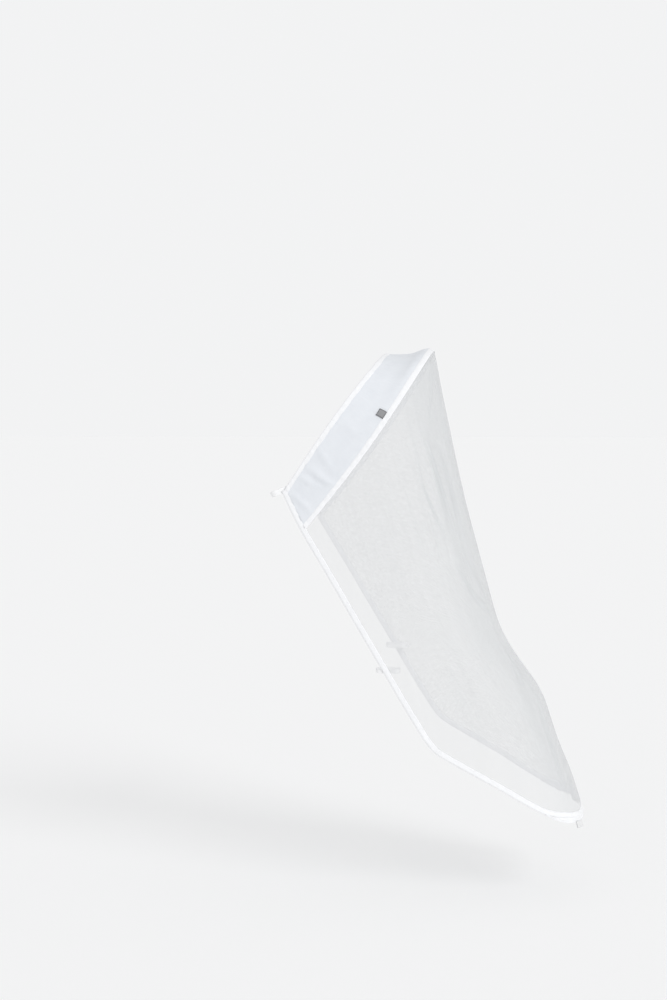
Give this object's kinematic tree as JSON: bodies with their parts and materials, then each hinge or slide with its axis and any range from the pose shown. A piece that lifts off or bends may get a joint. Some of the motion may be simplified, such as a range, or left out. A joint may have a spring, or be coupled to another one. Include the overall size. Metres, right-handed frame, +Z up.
{
  "type": "stroller mosquito net",
  "caption": "Fitted mosquito net for a stroller: a fine net that falls from an arched opaque band to a taped hem with elastic loops.",
  "frame": {"origin": "under the crown of the band, at the middle of its front edge, where the front bow of a stroller's hood carries the net", "axes": "+X to the front of the stroller, +Y to its left side, +Z up"},
  "size_m": [0.5625, 0.4296, 0.8562],
  "materials": {
    "net": "fine sheer knitted polyester net",
    "band": "plain woven polyester, matt, pale bluish white",
    "tape": "folded woven binding tape, white",
    "elastic": "ribbed woven elastic, white",
    "label": "woven label, bare dark grey"
  },
  "bodies": {
    "root": {"net_panel": "net", "top_band": "band", "rear_binding": "tape", "seam_binding": "tape", "hem_binding": "tape", "label": "label", "upper_loop_right": "elastic", "upper_loop_left": "elastic", "side_loop_right": "elastic", "side_loop_left": "elastic", "front_tab_right": "elastic", "front_tab_left": "elastic"}
  },
  "joints": []
}
